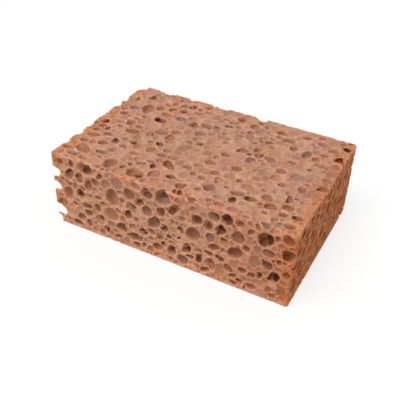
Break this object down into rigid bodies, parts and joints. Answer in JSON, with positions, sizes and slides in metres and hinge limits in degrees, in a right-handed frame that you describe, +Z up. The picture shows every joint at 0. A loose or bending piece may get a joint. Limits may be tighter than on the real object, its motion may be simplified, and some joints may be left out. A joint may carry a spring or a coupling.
{
  "type": "grout sponge",
  "caption": "Rectangular block of open-celled orange-tan cellulose foam for wiping grout and tiles, held in the hand, with rounded cells open on every cut face.",
  "frame": {"origin": "middle of the underside, on the plane that the sponge rests on", "axes": "+X along the length, -Y towards the long side that faces the viewer, +Z up through the thickness"},
  "size_m": [0.18, 0.12, 0.058],
  "materials": {
    "foam": "matte, open-celled"
  },
  "bodies": {
    "root": {"sponge": "foam"}
  },
  "joints": []
}
